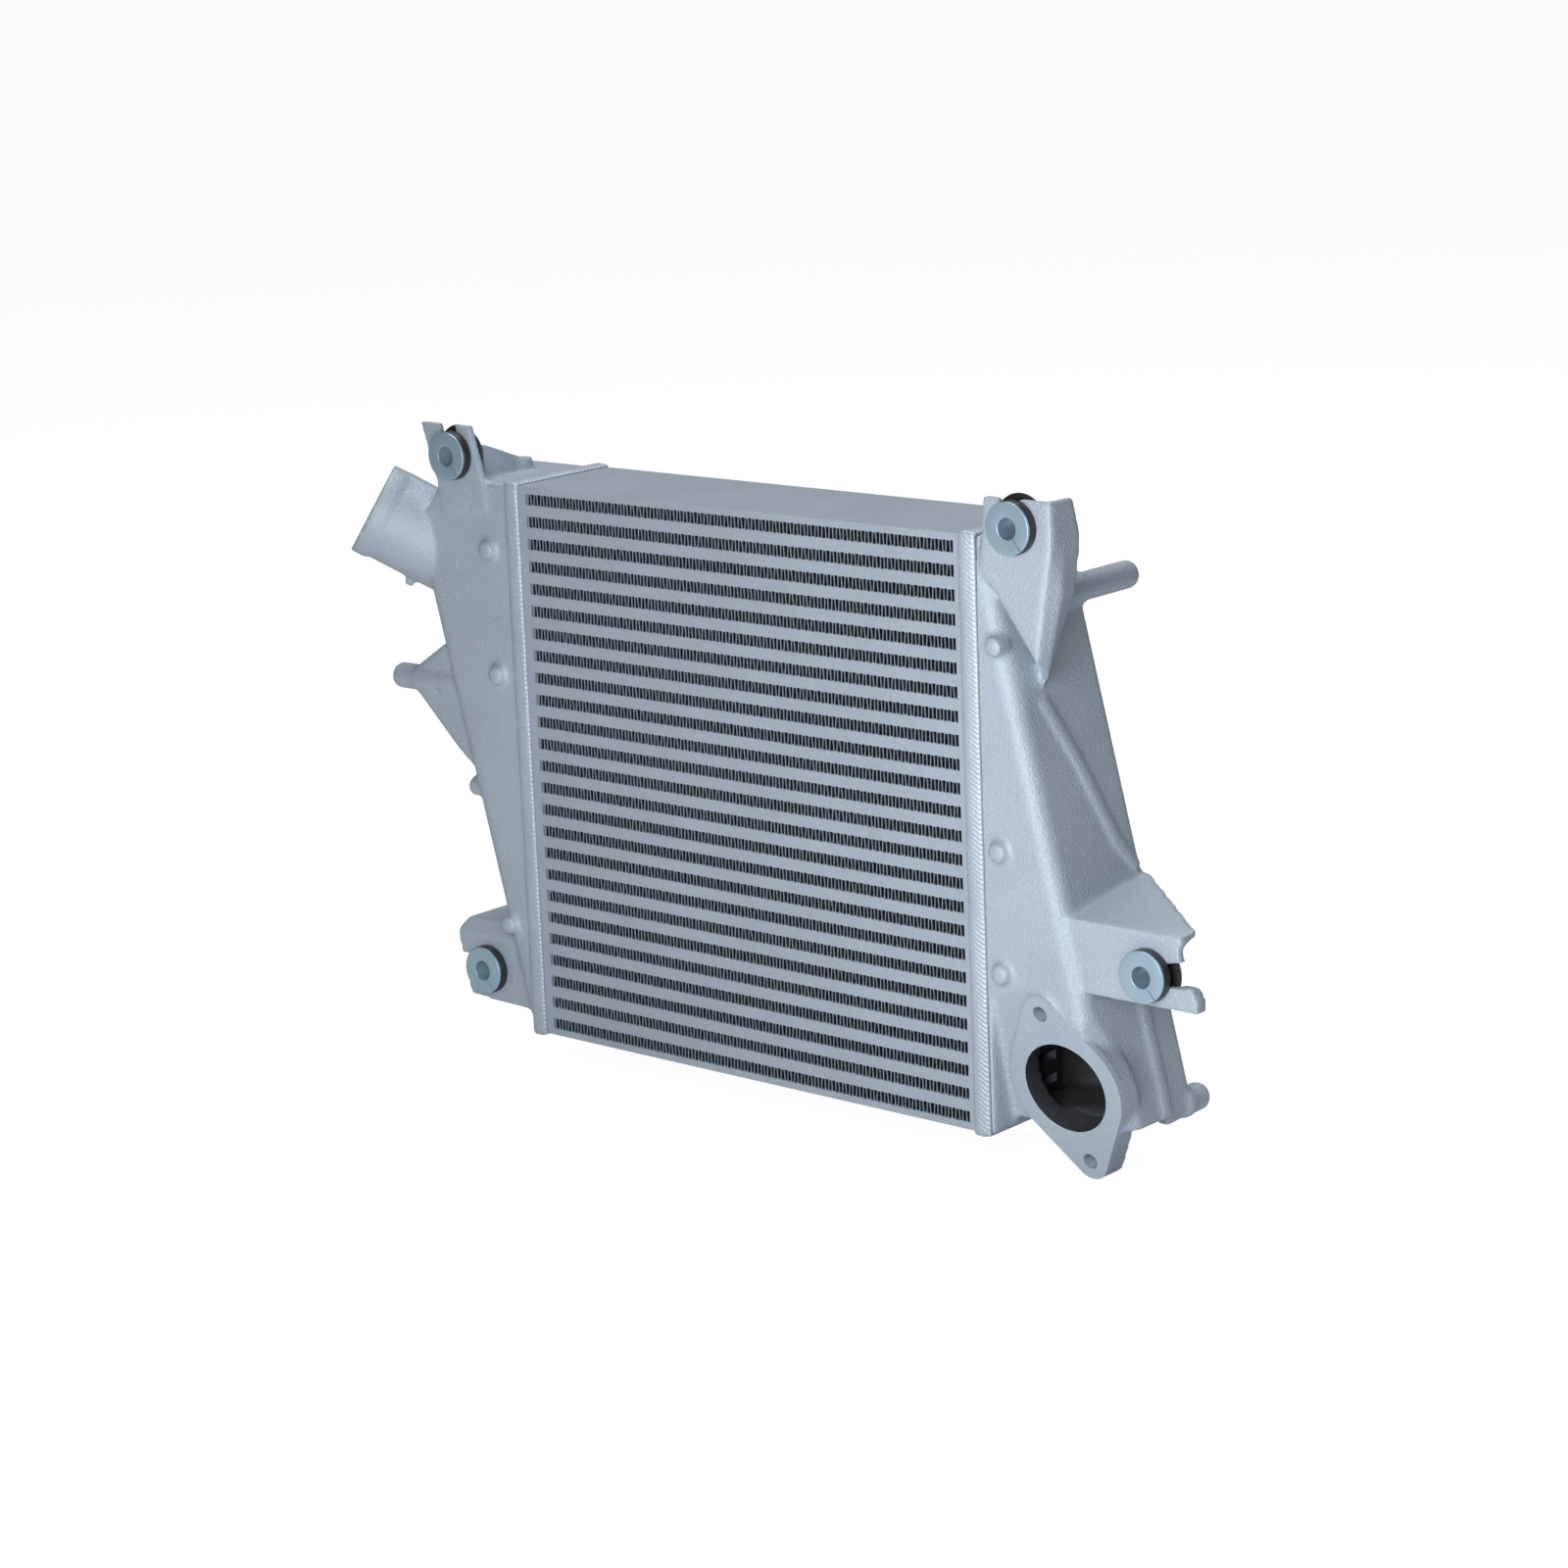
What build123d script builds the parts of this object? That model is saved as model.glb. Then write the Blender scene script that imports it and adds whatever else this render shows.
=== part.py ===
from build123d import *
import os
from math import atan2, cos, degrees, hypot, radians, sin, tan

# Charge-air intercooler: a brazed bar and plate core between two cast aluminium tanks.
# Frame: the origin is the centre of the outlet port, on the machined face of its flange, which
# leans back towards its foot. +X runs right along the core, +Y back through it and +Z up.
# Lengths are in millimetres and angles in degrees.

# Core: cooling rows of folded fin between flat charge-air tubes, with a plate above and below
cooling_rows = 25
fin_height = 5.0
tube_height = 5.0
plate_thickness = 3.0
fin_length = 240.0
end_bar_width = 6.0
core_depth = 58.0
fin_sheet = 0.3
fin_flanks = 8
face_bar_width = 6.0
parting_sheet = 0.5
turbulator_sheet = 0.3
turbulator_flanks = 3
turbulator_inset = 2.0

# Where the core stands from the outlet port
core_front = -7.0
core_right = -38.7
core_bottom = -24.2

# Castings: common wall, the small cast bosses, and the plates that carry the rubber mounts
tank_wall = 4.0
tank_front_radius = 7.0
tank_back_radius = 4.0
ejector_radius = 4.2
ejector_height = 4.0
cast_root = 2.0
pin_radius = 6.0
pin_root_radius = 6.6
pin_tip_chamfer = 1.5
ear_thickness = 4.0
seat_radius = 7.5
mouth_width = 9.5

# Outlet tank: narrow above, wide at the foot where the port is
outlet_top_width = 7.1
outlet_foot_width = 67.5
outlet_foot_rise = 8.0
outlet_rim_width = 7.0
outlet_floor_rise = 4.5

# Outlet port and its two-bolt flange, and the leaning front wall that they stand on
port_lean = 12.8
port_radius = 20.0
port_bore_length = 10.0
port_neck_length = 44.0
port_neck_wall = 4.0
port_neck_end_radius = 16.0
flange_radius = 27.8
flange_ear_radius = 8.2
flange_thickness = 13.0
cheek_length = 32.0
cheek_end_radius = 21.0
bolt_circle = 67.4
bolt_angle = 101.0
tap_radius = 3.4
tap_depth = 11.0
facet_rise = 62.5

# Inlet tank: wide above, narrow at the foot
inlet_foot_width = 10.0
inlet_top_width = 73.2
inlet_corner_chamfer = 27.0

# Inlet spout, given at its mouth
spout_left_of_core = 87.6
spout_below_top = 16.0
spout_forward = 4.3
spout_swing = 41.7
spout_rise = 30.4
spout_radius = 20.7
spout_bore_radius = 17.5
spout_length = 48.0
spout_ridge_width = 9.0
spout_ridge_height = 1.0
spout_ridge_length = 21.5
spout_key_width = 6.0
spout_key_height = 3.6
spout_key_from_mouth = 28.3
spout_key_length = 4.0
bead_band_radius = 21.7
bead_band_width = 7.4

# Rubber mounts: a grooved grommet in each ear, with a flanged steel sleeve through it
sleeve_bore_radius = 4.5
sleeve_radius = 6.2
sleeve_flange_radius = 10.9
sleeve_flange_thickness = 1.2
sleeve_fit = 0.05
grommet_radius = 11.1
grommet_front = 4.2
grommet_back = 4.3
grommet_lip_radius = 13.4
grommet_tail_radius = 10.2
lip_clearance = 0.5
seat_fit = 0.2

# Weld beads around the joints of core and tanks
bead_width = 7.5
bead_height = 2.0
bead_flank_angle = 20.0
outlet_bead_shift = 2.0

# Worked out from the sizes above
row_pitch = fin_height + tube_height
stack_height = cooling_rows * fin_height + (cooling_rows - 1) * tube_height
stack_bottom = core_bottom + plate_thickness
core_top = stack_bottom + stack_height + plate_thickness
core_height = core_top - core_bottom
core_width = fin_length + 2 * end_bar_width
core_left = core_right - core_width
core_middle_x = core_right - core_width / 2
core_middle_y = core_front + core_depth / 2
core_back = core_front + core_depth
core_middle_z = (core_top + core_bottom) / 2

os.makedirs("parts", exist_ok=True)


def depth_plane(y):
    """Sketch plane facing the front at depth y: local x is X and local y is Z."""
    return Plane.XZ.offset(-y)


def save(part, name):
    """Label one finished piece and write its file."""
    part.label = name
    export_step(part, "parts/" + name + ".step")


def zigzag(start, step, count, low, high, sheet):
    """Closed outline of a folded sheet, as points, between the levels low and high."""
    sheet_rise = sheet * hypot(step, high - low) / step
    crest = high - sheet_rise
    under = [(start + i * step, crest if i % 2 else low) for i in range(count + 1)]
    over = [(x, z + sheet_rise) for x, z in reversed(under)]
    return under + over


# Cooling fins, one folded strip in each open row
fin_step = fin_length / fin_flanks
for row in range(cooling_rows):
    row_bottom = stack_bottom + row * row_pitch
    with BuildPart() as cooling_fin:
        with BuildSketch(depth_plane(core_front)):
            with BuildLine():
                Polyline(*zigzag(core_left + end_bar_width, fin_step, fin_flanks,
                                 row_bottom, row_bottom + fin_height, fin_sheet), close=True)
            make_face()
        extrude(amount=-core_depth)
    save(cooling_fin.part, f"cooling_fin_{row + 1:02d}")

# Charge-air tubes: two face bars brazed between two parting sheets, open at both ends
channel_width = core_depth - 2 * face_bar_width
channel_height = tube_height - 2 * parting_sheet
for row in range(cooling_rows - 1):
    tube_middle = stack_bottom + row * row_pitch + fin_height + tube_height / 2
    with BuildPart() as charge_tube:
        with BuildSketch(Plane.YZ.offset(core_left)):
            with Locations((core_middle_y, tube_middle)):
                Rectangle(core_depth, tube_height)
                Rectangle(channel_width, channel_height, mode=Mode.SUBTRACT)
        extrude(amount=core_width)
    save(charge_tube.part, f"charge_tube_{row + 1:02d}")

# Turbulators: a folded sheet lying in each tube, with its folds along the air's way
turbulator_step = channel_width / turbulator_flanks
with BuildPart() as turbulators:
    for row in range(cooling_rows - 1):
        channel_bottom = stack_bottom + row * row_pitch + fin_height + parting_sheet
        with BuildSketch(Plane.YZ.offset(core_left + turbulator_inset)):
            with BuildLine():
                Polyline(*zigzag(core_front + face_bar_width, turbulator_step,
                                 turbulator_flanks, channel_bottom,
                                 channel_bottom + channel_height, turbulator_sheet),
                         close=True)
            make_face()
        extrude(amount=core_width - 2 * turbulator_inset)
save(turbulators.part, "turbulators")

# End bars: they close the cooling rows beside each tank
row_middles = [stack_bottom + row * row_pitch + fin_height / 2 for row in range(cooling_rows)]
with BuildPart() as inlet_end_bars:
    with Locations(*[(core_left, core_middle_y, z) for z in row_middles]):
        Box(end_bar_width, core_depth, fin_height, align=(Align.MIN, Align.CENTER, Align.CENTER))
save(inlet_end_bars.part, "inlet_end_bars")
with BuildPart() as outlet_end_bars:
    with Locations(*[(core_right, core_middle_y, z) for z in row_middles]):
        Box(end_bar_width, core_depth, fin_height, align=(Align.MAX, Align.CENTER, Align.CENTER))
save(outlet_end_bars.part, "outlet_end_bars")

# Top and bottom plates
with BuildPart() as top_plate:
    with Locations((core_middle_x, core_middle_y, core_top)):
        Box(core_width, core_depth, plate_thickness, align=(Align.CENTER, Align.CENTER, Align.MAX))
save(top_plate.part, "top_plate")
with BuildPart() as bottom_plate:
    with Locations((core_middle_x, core_middle_y, core_bottom)):
        Box(core_width, core_depth, plate_thickness, align=(Align.CENTER, Align.CENTER, Align.MIN))
save(bottom_plate.part, "bottom_plate")


def weld_bead(x, name):
    """A crowned band of weld round the joint of core and tank at x."""
    with BuildPart() as bead:
        with BuildSketch(Plane.YZ.offset(x)):
            with Locations((core_middle_y, core_middle_z)):
                band = Rectangle(core_depth + 2 * bead_height, core_height + 2 * bead_height)
            chamfer(band.vertices(), 1.5 * bead_height)
        extrude(amount=bead_width / 2, taper=bead_flank_angle, both=True)
        with Locations((x, core_middle_y, core_middle_z)):
            Box(2 * bead_width, core_depth, core_height, mode=Mode.SUBTRACT)
    save(bead.part, name)


weld_bead(core_left, "inlet_weld_bead")
weld_bead(core_right + outlet_bead_shift, "outlet_weld_bead")


def ejector_bosses(places):
    """Small round cast bosses on the front wall, rooted in its whole thickness."""
    with BuildPart() as bosses:
        for x, z in places:
            with Locations(Location((x, core_front + tank_wall, z), (90, 0, 0))):
                Cylinder(ejector_radius, tank_wall + ejector_height,
                         align=(Align.CENTER, Align.CENTER, Align.MIN))
    return bosses.part


def round_edges(long_edges):
    """Round the long front edge of a tank and, more tightly, the one behind it."""
    from_front = long_edges.sort_by(Axis.Y)
    fillet(from_front[0], tank_front_radius)
    fillet(from_front[-1], tank_back_radius)


def round_pin(length):
    """A locating pin along +Z from the origin, with a chamfered tip."""
    with BuildPart() as pin:
        Cylinder(pin_radius, length, align=(Align.CENTER, Align.CENTER, Align.MIN))
        chamfer(pin.edges().group_by(Axis.Z)[-1], pin_tip_chamfer)
    return pin.part


def back_pin(x, root_y, z, reach):
    """Add a pin behind the tank, on a slightly thicker root that starts at root_y."""
    with Locations(Location((x, root_y, z), (-90, 0, 0))):
        Cylinder(pin_root_radius, core_back - root_y, align=(Align.CENTER, Align.CENTER, Align.MIN))
    add(Location((x, core_back, z), (-90, 0, 0)) * round_pin(reach))


def keyhole(x, z, angle, reach):
    """Outline of a round seat with a narrower mouth leading out of it at an angle."""
    with BuildSketch() as slot:
        with Locations((x, z)):
            Circle(seat_radius)
            Rectangle(reach, mouth_width, rotation=angle,
                      align=(Align.MIN, Align.CENTER))
    return slot.sketch


# Rubber mount centres and the depth of the front of each ear
outlet_ear_x = core_right + 25.5
outlet_ear_z = core_top + 5.1
outlet_wing_x = core_right + outlet_foot_width + 17.0
outlet_wing_z = core_bottom + 80.8
inlet_ear_x = core_left - 36.5
inlet_ear_z = core_top + 11.2
inlet_wing_x = core_left - 34.9
inlet_wing_z = core_bottom + 24.4
ear_lean = 107.0
wing_lean = 6.0
outlet_wing_recess = 3.0
inlet_wing_recess = 2.0
inlet_ear_step = 0.8
mounts = [(outlet_ear_x, core_front, outlet_ear_z),
          (outlet_wing_x, core_front + outlet_wing_recess, outlet_wing_z),
          (inlet_ear_x, core_front - inlet_ear_step, inlet_ear_z),
          (inlet_wing_x, core_front + inlet_wing_recess, inlet_wing_z)]

# Rubber grommets: two flanges and a waist that sits in the ear's seat
with BuildPart() as rubber_grommets:
    for x, y, z in mounts:
        with Locations(Location((x, y, z), (90, 0, 0))):
            Cylinder(grommet_radius, grommet_front, align=(Align.CENTER, Align.CENTER, Align.MIN))
            Cylinder(seat_radius - seat_fit, ear_thickness,
                     align=(Align.CENTER, Align.CENTER, Align.MAX))
        with Locations(Location((x, y + ear_thickness, z), (90, 0, 0))):
            Cone(grommet_tail_radius, grommet_lip_radius, grommet_back,
                 align=(Align.CENTER, Align.CENTER, Align.MAX))
        with Locations(Location((x, y - grommet_front, z), (90, 0, 0))):
            Cylinder(sleeve_radius + sleeve_fit, grommet_front + ear_thickness + grommet_back,
                     align=(Align.CENTER, Align.CENTER, Align.MAX), mode=Mode.SUBTRACT)
save(rubber_grommets.part, "rubber_grommets")

# Steel sleeves: a tube with a washer-like flange against the front of each grommet
sleeve_length = grommet_front + ear_thickness + grommet_back
with BuildPart() as mounting_sleeves:
    for x, y, z in mounts:
        with Locations(Location((x, y - grommet_front, z), (90, 0, 0))):
            Cylinder(sleeve_flange_radius, sleeve_flange_thickness,
                     align=(Align.CENTER, Align.CENTER, Align.MIN))
            Cylinder(sleeve_radius, sleeve_length, align=(Align.CENTER, Align.CENTER, Align.MAX))
        with Locations(Location((x, y - grommet_front - sleeve_flange_thickness, z), (90, 0, 0))):
            Cylinder(sleeve_bore_radius, sleeve_length + sleeve_flange_thickness,
                     align=(Align.CENTER, Align.CENTER, Align.MAX), mode=Mode.SUBTRACT)
save(mounting_sleeves.part, "mounting_sleeves")

# Outlet tank
outlet_side_top = (core_right + outlet_top_width, core_top)
outlet_side_foot = (core_right + outlet_foot_width, core_bottom + outlet_foot_rise)
side_lean = (outlet_side_foot[0] - outlet_side_top[0]) / (outlet_side_top[1] - outlet_side_foot[1])
side_angle = degrees(atan2(side_lean, 1))
wall_along_x = tank_wall / cos(radians(side_angle))


def outlet_side(z):
    """X of the outlet tank's sloping side at height z."""
    return outlet_side_top[0] + side_lean * (outlet_side_top[1] - z)


with BuildPart() as outlet_shell:
    with BuildSketch(depth_plane(core_front)):
        with BuildLine():
            Polyline((core_right, core_bottom), (core_right, core_top), outlet_side_top,
                     outlet_side_foot,
                     (core_right + outlet_rim_width + 1, core_bottom + outlet_floor_rise),
                     (core_right + outlet_rim_width, core_bottom), close=True)
        make_face()
    extrude(amount=-core_depth)
    long_edges = outlet_shell.edges().filter_by(lambda e: e.length > 0.7 * core_height)
    round_edges(long_edges.filter_by(lambda e: e.center().X > core_right + 1))

facet_top = core_bottom + facet_rise
port_slope = tan(radians(port_lean))


def leaning_wedge(left, right, wall):
    """What lies in front of the leaning wall under facet_top, moved back by a wall thickness."""
    with BuildPart() as wedge:
        with BuildSketch(Plane.YZ.offset(left)):
            with BuildLine():
                Polyline((core_front + wall, facet_top), (core_front - 1, facet_top),
                         (core_front - 1, core_bottom - 1),
                         (core_front + wall + (facet_rise + 1) * port_slope, core_bottom - 1),
                         close=True)
            make_face()
        extrude(amount=right - left)
    return wedge.part


# The leaning wall starts beside the weld and ends at the flange's upper right edge, where the
# upright wall still stands; the corner right of that is swept back
facet_left = core_right + outlet_rim_width
facet_edge = [(-5.0, facet_top), (1.0, 36.0), (15.7, 25.0), (24.0, 19.0)]
with BuildPart() as port_facet:
    add(leaning_wedge(facet_left, outlet_side_foot[0] + 2, 0))
    with BuildSketch(depth_plane(core_front - 1)):
        with BuildLine():
            Polyline((facet_left, core_bottom - 1), (facet_left, facet_top), *facet_edge,
                     (outlet_side_foot[0] + 2, facet_edge[-1][1]),
                     (outlet_side_foot[0] + 2, core_bottom - 1), close=True)
        make_face()
    extrude(amount=-core_depth, mode=Mode.INTERSECT)


def swept_corner(z, run, depth):
    """Section, at height z, of what the swept back corner takes off the tank's front edge."""
    with BuildSketch(Plane.XY.offset(z)) as section:
        with BuildLine():
            Polyline((outlet_side(z) + 1, core_front - 1), (outlet_side(z) - run, core_front - 1),
                     (outlet_side(z) + 1, core_front + depth), close=True)
        make_face()
    return section.sketch


# Height, run to the left and depth of each section of the swept back corner
corner_sections = [(facet_top + 6.0, 0.2, 0.2), (core_bottom + 44.0, 7.0, 15.0),
                   (core_bottom - 1.0, 15.5, 24.0)]
with BuildPart() as corner_sweep:
    loft([swept_corner(*section) for section in corner_sections], ruled=True)

cavity_floor = outlet_side_foot[1] + tank_wall
with BuildPart() as outlet_cavity:
    with BuildSketch(depth_plane(core_front + tank_wall)):
        with BuildLine():
            Polyline((core_right, core_bottom + tank_wall), (core_right, core_top - tank_wall),
                     (outlet_side(core_top - tank_wall) - wall_along_x, core_top - tank_wall),
                     (outlet_side(cavity_floor) - wall_along_x, cavity_floor),
                     (facet_left, core_bottom + outlet_floor_rise + tank_wall),
                     (facet_left - tank_wall, core_bottom + tank_wall), close=True)
        make_face()
    extrude(amount=-(core_depth - 2 * tank_wall))
    add(leaning_wedge(facet_left - tank_wall, outlet_side_foot[0], tank_wall), mode=Mode.SUBTRACT)
    add(Location((-tank_wall, tank_wall + 1, 0)) * corner_sweep.part, mode=Mode.SUBTRACT)

# Upper ear of the outlet tank: front plate, return wall and closed foot round a pocket
ear_left = outlet_ear_x - 16.5
ear_right = outlet_ear_x + 18.0
ear_top = outlet_ear_z + 11.0
ear_depth = 19.6
ear_top_depth = 15.6
ear_bevel = 7.5
ear_web = 3.6
ear_tip_z = outlet_ear_z - 68.0
pin_drop = 30.0

# Lower wing of the outlet tank: forked front plate under a sloping roof
wing_top = outlet_wing_z + 17.3
wing_bottom = outlet_wing_z - 13.0
upper_jaw_reach = 16.5
lower_jaw_reach = 23.5
lower_jaw_depth = 6.5
jaw_top = outlet_wing_z - 3.0
wing_tip_depth = 9.0
roof_thickness = 3.6
roof_rise = 7.0
roof_root = 8.0
wing_front = core_front + outlet_wing_recess

with BuildPart() as outlet_wing:
    with BuildSketch(depth_plane(wing_front)):
        with BuildLine():
            Polyline((outlet_side(wing_top) - cast_root, wing_top),
                     (outlet_wing_x + upper_jaw_reach - 5, wing_top),
                     (outlet_wing_x + upper_jaw_reach - 2, wing_top - 3),
                     (outlet_wing_x + upper_jaw_reach, outlet_wing_z),
                     (outlet_wing_x + lower_jaw_reach - 3, jaw_top),
                     (outlet_wing_x + lower_jaw_reach, jaw_top - 5),
                     (outlet_wing_x + lower_jaw_reach, wing_bottom),
                     (outlet_side(wing_bottom) - cast_root, wing_bottom), close=True)
        make_face()
    extrude(amount=-ear_thickness)
    with BuildSketch(depth_plane(wing_front)):
        with BuildLine():
            Polyline((outlet_wing_x + grommet_lip_radius + lip_clearance, jaw_top),
                     (outlet_wing_x + lower_jaw_reach - 3, jaw_top),
                     (outlet_wing_x + lower_jaw_reach, jaw_top - 5),
                     (outlet_wing_x + lower_jaw_reach, wing_bottom),
                     (outlet_wing_x + grommet_lip_radius + lip_clearance, wing_bottom), close=True)
        make_face()
    extrude(amount=-lower_jaw_depth)
    with BuildSketch(Plane.YZ.offset(outlet_side(wing_top) - roof_root)):
        with BuildLine():
            Polyline((wing_front, wing_top), (core_back, wing_top + roof_rise),
                     (core_back, wing_top + roof_rise - roof_thickness),
                     (wing_front, wing_top - roof_thickness), close=True)
        make_face()
    extrude(amount=outlet_wing_x + upper_jaw_reach - outlet_side(wing_top) + roof_root)
    with BuildSketch(Plane.XY.offset(wing_bottom)):
        with BuildLine():
            Polyline((outlet_side(wing_top) + 1, core_back + 1),
                     (outlet_wing_x + upper_jaw_reach + 1, core_back + 1),
                     (outlet_wing_x + upper_jaw_reach + 1, wing_front + wing_tip_depth),
                     (outlet_side(wing_top) + 1, core_back), close=True)
        make_face()
    extrude(amount=wing_top + roof_rise + 1 - wing_bottom, mode=Mode.SUBTRACT)
    extrude(depth_plane(wing_front) * keyhole(outlet_wing_x, outlet_wing_z, wing_lean, 40),
            amount=-ear_thickness, mode=Mode.SUBTRACT)

def ear_outline(depth, low_x, tip_x, tip_z, inset=0.0, top=ear_top):
    """Outline of the upper ear at a depth behind its front, drawn in by an inset."""
    with BuildSketch(depth_plane(core_front + depth)) as outline:
        with BuildLine():
            Polyline((ear_left - inset, top), (ear_right - inset, top),
                     (ear_right - inset, outlet_ear_z - 6),
                     (low_x - inset, outlet_ear_z - 26),
                     (tip_x - inset, tip_z + 2 * inset),
                     (outlet_side(core_top - 14) - 3, core_top - 14), close=True)
        make_face()
    return outline.sketch


with BuildPart() as outlet_ear:
    loft([ear_outline(0, ear_right - 4.4, outlet_ear_x + 9.5, outlet_ear_z - 55),
          ear_outline(ear_bevel, ear_right - 0.5, outlet_ear_x + 9.5, outlet_ear_z - 62),
          ear_outline(ear_depth, ear_right - 3, outlet_side(ear_tip_z) + 1, ear_tip_z)], ruled=True)
    loft([ear_outline(ear_thickness, ear_right - 1.5, outlet_ear_x + 9, outlet_ear_z - 62,
                      ear_web, ear_top + 1),
          ear_outline(ear_depth + 1, ear_right - 3, outlet_side(ear_tip_z) + 1, ear_tip_z,
                      ear_web, ear_top + 1)],
         ruled=True, mode=Mode.SUBTRACT)
    with BuildSketch(Plane.YZ.offset(ear_left)):
        with BuildLine():
            Polyline((core_front + ear_top_depth, ear_top + 1),
                     (core_front + ear_top_depth, ear_top),
                     (core_front + ear_depth, ear_top - 14),
                     (core_front + ear_depth + 1, ear_top + 1), close=True)
        make_face()
    extrude(amount=ear_right - ear_left, mode=Mode.SUBTRACT)
    extrude(depth_plane(core_front) * keyhole(outlet_ear_x, outlet_ear_z, ear_lean, 30),
            amount=-ear_thickness, mode=Mode.SUBTRACT)

# Locating pins behind the outlet tank, and the raised parting ridge on its side
lower_pin_x = core_right + outlet_foot_width - 5.5
lower_pin_z = core_bottom + 9.3
lower_pin_reach = 11.0
upper_pin_reach = 35.0
pin_web = 6.0
pin_web_start = 17.0
pin_web_drop = 5.0
ridge_width = 5.0
ridge_height = 1.4
side_plane = Plane(origin=(outlet_side_top[0], core_front, outlet_side_top[1]), x_dir=(0, 1, 0),
                   z_dir=(cos(radians(side_angle)), 0, sin(radians(side_angle))))
upper_ridge = [(17, core_top - 68), (30, core_top - 94), (44, core_top - 130),
               (core_depth - 4, core_top - 143)]
lower_ridge = [(38, core_bottom + 58.5), (38, outlet_side_foot[1] + 1)]


def down_side(z):
    """Distance along the outlet tank's sloping side, measured up from its top corner."""
    return -(core_top - z) / cos(radians(side_angle))


port_plane = Plane(origin=(0, 0, 0), x_dir=(1, 0, 0),
                   z_dir=(0, -cos(radians(port_lean)), -sin(radians(port_lean))))
bolt_x = bolt_circle / 2 * cos(radians(bolt_angle))
bolt_rise = bolt_circle / 2 * sin(radians(bolt_angle))
bolt_places = [(bolt_x, bolt_rise), (-bolt_x, -bolt_rise)]

# Cheek that carries the flange's right edge back into the tank's side, above the floor
with BuildPart() as port_cheek:
    with Locations(port_plane):
        Cone(cheek_end_radius, flange_radius, cheek_length,
             align=(Align.CENTER, Align.CENTER, Align.MAX))
    with Locations((0, 0, outlet_side_foot[1])):
        Box(3 * flange_radius, 3 * cheek_length, 3 * flange_radius,
            align=(Align.CENTER, Align.CENTER, Align.MIN), mode=Mode.INTERSECT)

with BuildPart() as outlet_tank:
    add(outlet_shell.part)
    add(port_facet.part, mode=Mode.SUBTRACT)
    add(corner_sweep.part, mode=Mode.SUBTRACT)
    add(port_cheek.part)
    add(outlet_ear.part)
    add(outlet_wing.part)
    with BuildSketch(port_plane):
        Circle(flange_radius)
        with Locations(*bolt_places):
            Circle(flange_ear_radius)
        make_hull()
    extrude(amount=flange_thickness, dir=(0, 1, 0))
    with Locations(port_plane):
        Cone(port_neck_end_radius, port_radius + port_neck_wall, port_neck_length,
             align=(Align.CENTER, Align.CENTER, Align.MAX))
    pin_z = core_top - pin_drop
    upper_pin_x = outlet_side(pin_z) - 1.4
    upper_pin_start = core_front + ear_depth - ear_web
    back_pin(upper_pin_x, upper_pin_start, pin_z, upper_pin_reach)
    back_pin(lower_pin_x, core_back - tank_wall, lower_pin_z, lower_pin_reach)
    with BuildSketch(Plane.YZ.offset(lower_pin_x - pin_web / 2)):
        with BuildLine():
            Polyline((core_back - pin_web_start, outlet_side_foot[1] - pin_web_drop),
                     (core_back + lower_pin_reach - 3, lower_pin_z - pin_web_drop),
                     (core_back + lower_pin_reach - 3, lower_pin_z),
                     (core_back - pin_web_start, lower_pin_z), close=True)
        make_face()
    extrude(amount=pin_web)
    with BuildSketch(side_plane):
        with BuildLine():
            Polyline(*[(y, down_side(z)) for y, z in upper_ridge])
        trace(line_width=ridge_width)
        with BuildLine():
            Polyline(*[(y, down_side(z)) for y, z in lower_ridge])
        trace(line_width=ridge_width)
    extrude(amount=ridge_height)
    add(outlet_cavity.part, mode=Mode.SUBTRACT)
    with Locations(port_plane):
        Cylinder(port_radius + port_neck_wall, port_bore_length,
                 align=(Align.CENTER, Align.CENTER, Align.MAX))
    with Locations(port_plane * Location((*bolt_places[0], 0))):
        Cylinder(flange_ear_radius, flange_thickness, align=(Align.CENTER, Align.CENTER, Align.MAX))
    with Locations(port_plane):
        Cylinder(port_radius, port_bore_length, align=(Align.CENTER, Align.CENTER, Align.MAX),
                 mode=Mode.SUBTRACT)
    with Locations(port_plane * Location((0, 0, -port_bore_length))):
        Cone(port_neck_end_radius - port_neck_wall, port_radius,
             port_neck_length - port_bore_length - port_neck_wall,
             align=(Align.CENTER, Align.CENTER, Align.MAX), mode=Mode.SUBTRACT)
    with Locations(*[port_plane * Location((x, rise, 0)) for x, rise in bolt_places]):
        Cylinder(tap_radius, tap_depth, align=(Align.CENTER, Align.CENTER, Align.MAX),
                 mode=Mode.SUBTRACT)
    add(ejector_bosses([(core_right + 14.9, core_top - 44.0), (core_right + 14.0, core_top - 129.1),
                        (core_right + 13.8, core_bottom + 70.6)]))
save(outlet_tank.part, "outlet_tank")

# Inlet tank
inlet_lean = (inlet_top_width - inlet_foot_width) / core_height


def inlet_side(z):
    """X of the inlet tank's sloping side at height z."""
    return core_left - inlet_foot_width - inlet_lean * (z - core_bottom)


inlet_wall_along_x = tank_wall * hypot(1, inlet_lean)
cavity_corner_extra = 1.0
with BuildPart() as inlet_shell:
    with BuildSketch(depth_plane(core_front)):
        with BuildLine():
            Polyline((core_left, core_bottom), (core_left, core_top),
                     (inlet_side(core_top) + inlet_corner_chamfer, core_top),
                     (inlet_side(core_top - inlet_corner_chamfer), core_top - inlet_corner_chamfer),
                     (inlet_side(core_bottom), core_bottom), close=True)
        make_face()
    extrude(amount=-core_depth)
    long_edges = inlet_shell.edges().filter_by(lambda e: e.length > 0.7 * core_height)
    round_edges(long_edges.filter_by(lambda e: e.center().X < core_left - 1))

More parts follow.
